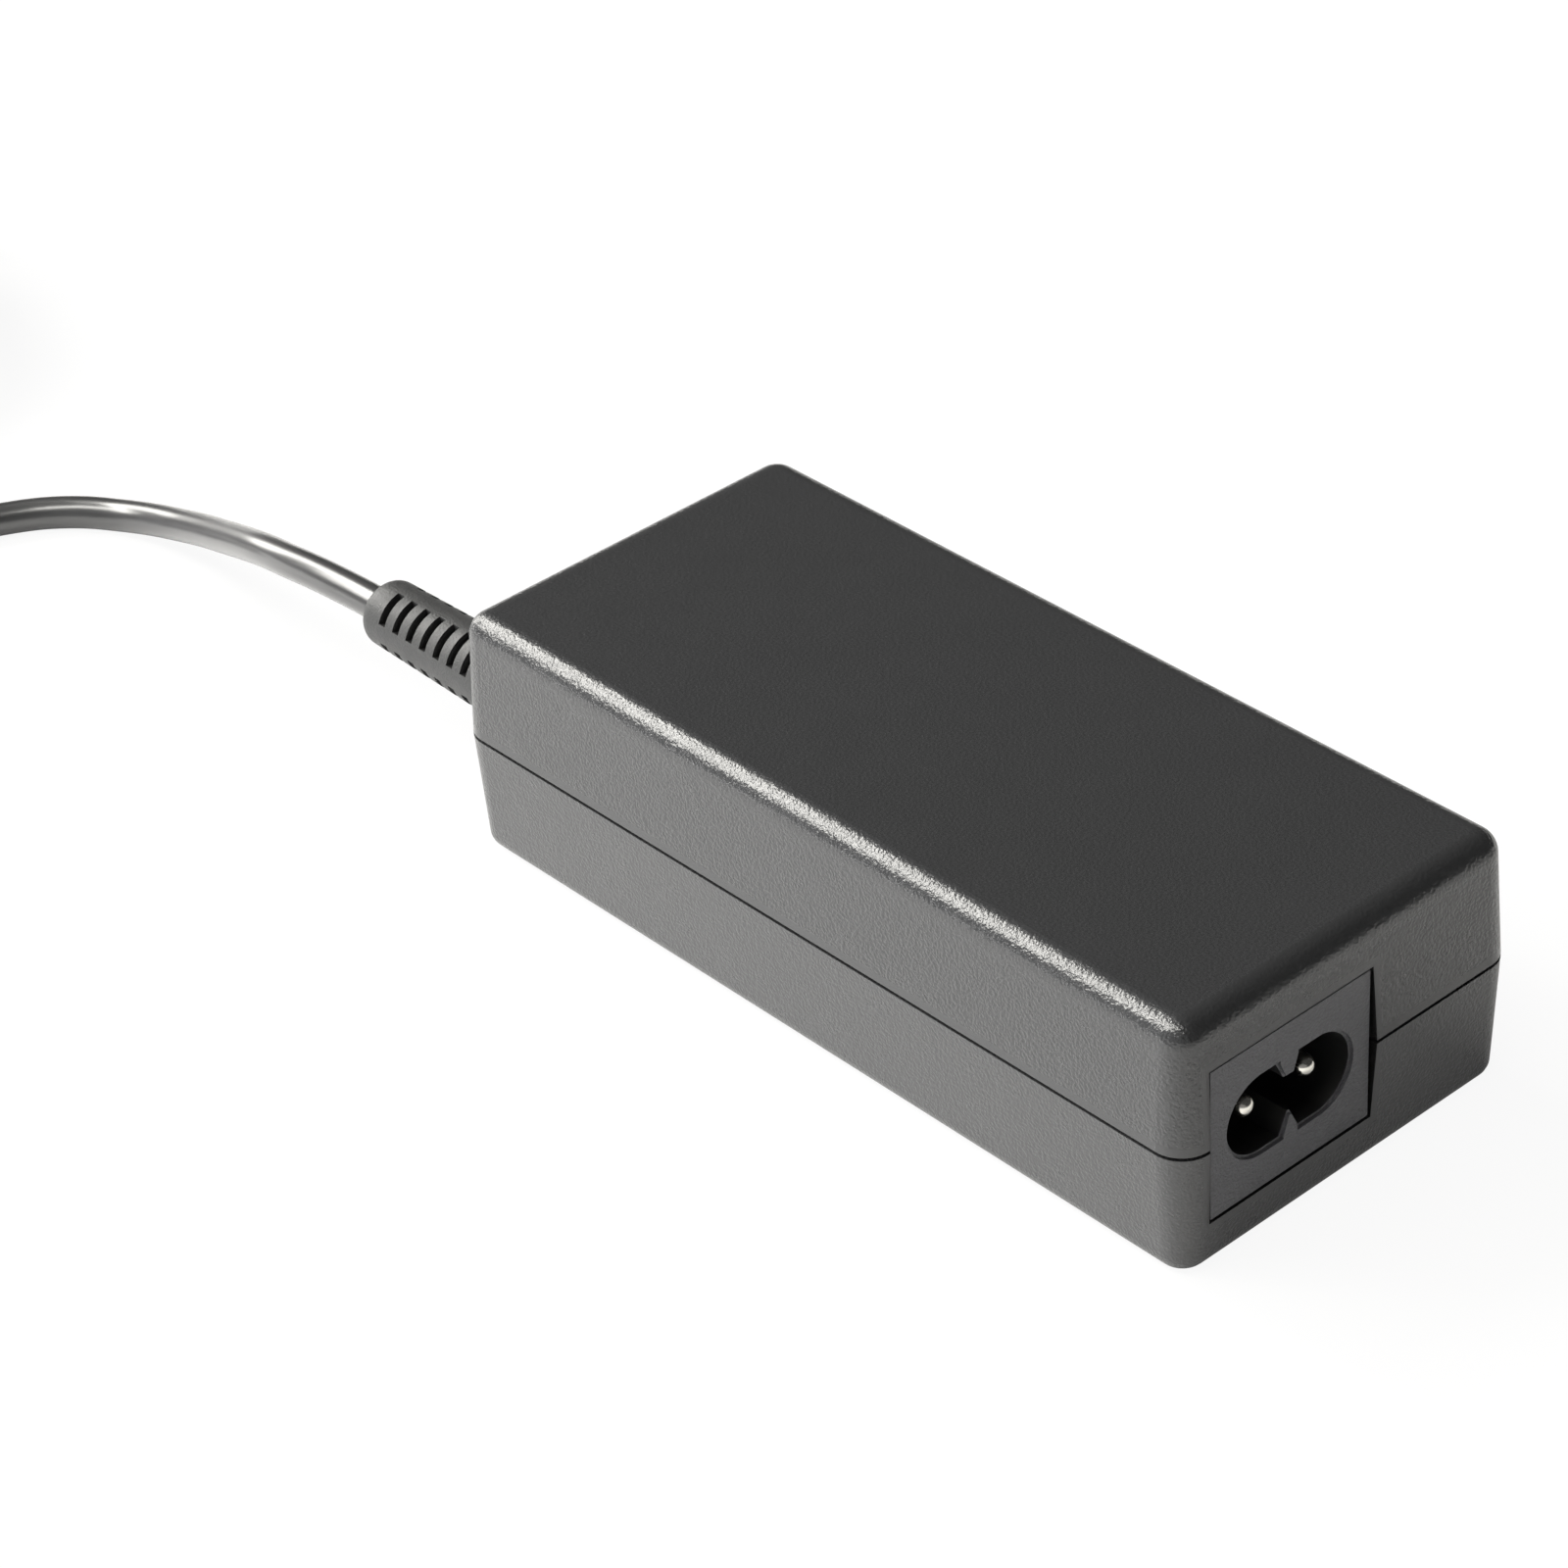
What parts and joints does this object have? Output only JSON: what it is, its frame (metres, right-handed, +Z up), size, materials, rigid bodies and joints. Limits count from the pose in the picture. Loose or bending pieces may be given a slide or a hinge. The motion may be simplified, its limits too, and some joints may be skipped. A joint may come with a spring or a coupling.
{
  "type": "laptop power adapter",
  "caption": "Slim black mains power adapter for a laptop: two-shell moulded case, figure-eight inlet, slotted cable relief, coiled output lead and barrel plug.",
  "frame": {"origin": "bottom centre of the case, on the surface it stands on", "axes": "+Y along the case towards the output lead, +X across it, +Z up; the mains inlet faces -Y"},
  "size_m": [0.0724, 0.2887, 0.0298],
  "materials": {
    "case_black": "fine spark-eroded moulding texture",
    "inlet_black": "fine matte moulding",
    "relief_black": "soft matte elastomer",
    "cord_black": "semi-gloss extruded jacket",
    "tie_black": "flat moulded strap",
    "nickel": "bright nickel plating",
    "contact_metal": "plated spring brass",
    "insulator_black": "smooth moulding",
    "board_green": "solder-resist lacquer",
    "sheet_film": "translucent insulating film",
    "component_black": "moulded epoxy",
    "component_yellow": "smooth plastic box",
    "component_blue": "dipped lacquer",
    "component_red": "smooth plastic cap",
    "sleeve_dark": "heat-shrunk sleeve over an aluminium can",
    "ferrite": "sintered ferrite",
    "copper_wire": "enamelled copper wire",
    "tape_yellow": "winding tape",
    "bobbin_cream": "moulded bobbin",
    "sink_aluminium": "plain stamped sheet",
    "screw_steel": "zinc plated",
    "pad_pink": "soft silicone pad",
    "chip_cream": "moulded chip body",
    "chip_mixed": "ceramic and metal chip parts",
    "wire_red": "wire jacket",
    "wire_black": "wire jacket"
  },
  "bodies": {
    "root": {"bottom_shell": "case_black", "top_shell": "case_black", "inlet_body": "inlet_black", "inlet_pin_left": "nickel", "inlet_pin_right": "nickel", "insulating_sheet": "sheet_film", "main_board": "board_green", "input_fuse": "component_red", "surge_absorber": "component_blue", "interference_capacitor": "component_yellow", "line_choke_core": "ferrite", "line_choke_winding_left": "copper_wire", "line_choke_winding_right": "copper_wire", "bridge_rectifier": "component_black", "reservoir_capacitor": "sleeve_dark", "input_heat_sink": "sink_aluminium", "switching_transistor": "component_black", "transistor_screw": "screw_steel", "start_capacitor": "sleeve_dark", "isolation_capacitor": "component_blue", "optocoupler": "chip_cream", "control_chip": "component_black", "small_chip_parts": "chip_mixed", "transformer_lower_core": "ferrite", "transformer_upper_core": "ferrite", "transformer_bobbin": "bobbin_cream", "transformer_winding": "tape_yellow", "output_heat_sink": "sink_aluminium", "output_rectifier": "component_black", "rectifier_screw": "screw_steel", "output_capacitor_left": "sleeve_dark", "output_capacitor_right": "sleeve_dark", "output_choke": "ferrite", "input_heat_pad": "pad_pink", "output_heat_pad": "pad_pink", "heat_spreader": "sink_aluminium", "output_wire_positive": "wire_red", "output_wire_return": "wire_black", "cable_relief": "relief_black", "cord_inner_end": "cord_black", "cord_lead": "cord_black", "cord_coil": "cord_black", "cord_tail": "cord_black", "coil_tie": "tie_black", "plug_grip": "relief_black", "plug_sleeve": "nickel", "plug_insulator": "insulator_black", "plug_contact": "contact_metal"}
  },
  "joints": []
}
